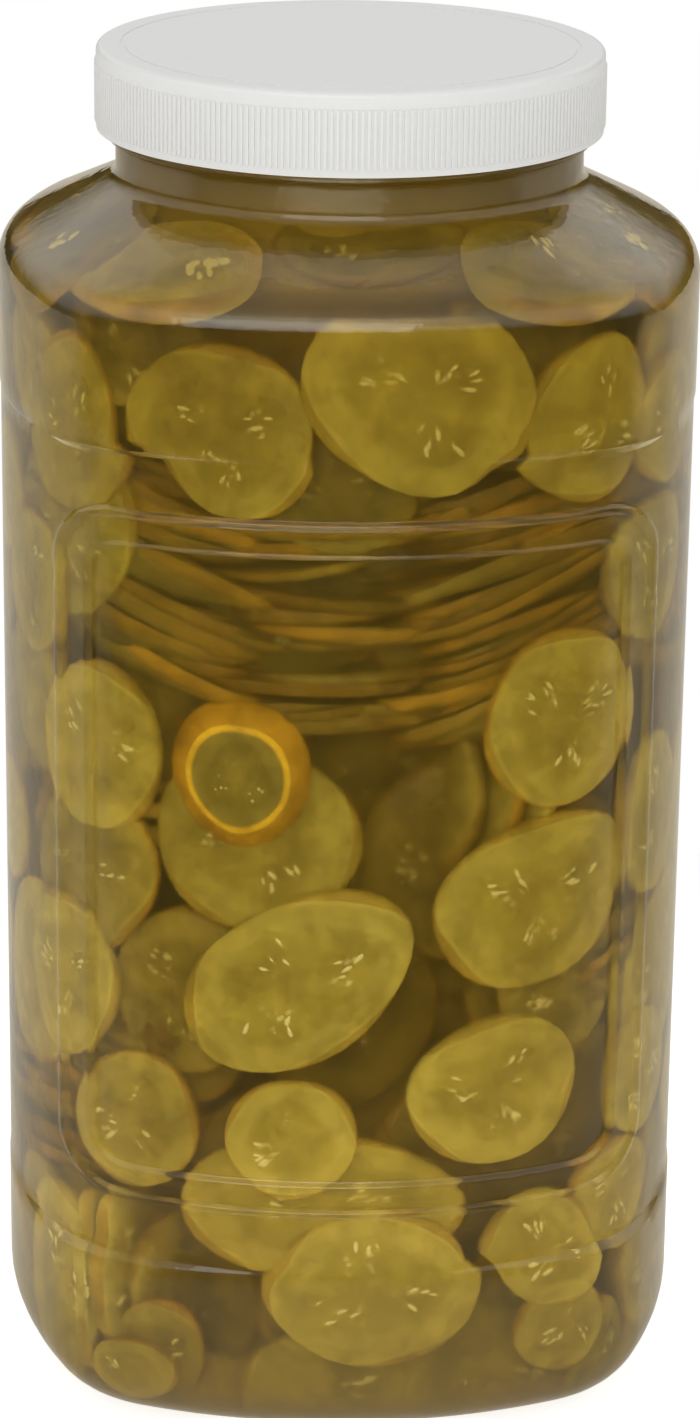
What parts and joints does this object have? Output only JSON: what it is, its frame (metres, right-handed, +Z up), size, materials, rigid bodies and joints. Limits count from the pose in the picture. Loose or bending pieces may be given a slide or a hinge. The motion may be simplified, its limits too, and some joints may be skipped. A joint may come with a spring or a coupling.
{
  "type": "pickle jar",
  "caption": "Clear square-shouldered jar of sliced pickles in brine, with a raised frame on its label fronts and a white ribbed screw lid.",
  "frame": {"origin": "centre of the standing face", "axes": "+Z up along the bottle to the lid; the label fronts face -Y and +Y; X runs across them"},
  "size_m": [0.1428, 0.1436, 0.2782],
  "materials": {
    "clear_plastic": "clear blown plastic with a fine orange-peel surface",
    "white_plastic": "white moulded plastic, satin, with a ribbed skirt",
    "pickles_in_brine": "olive yellow cucumber slices in amber brine, wet"
  },
  "bodies": {
    "root": {"jar": "clear_plastic", "lid": "white_plastic", "brine": "pickles_in_brine"}
  },
  "joints": []
}
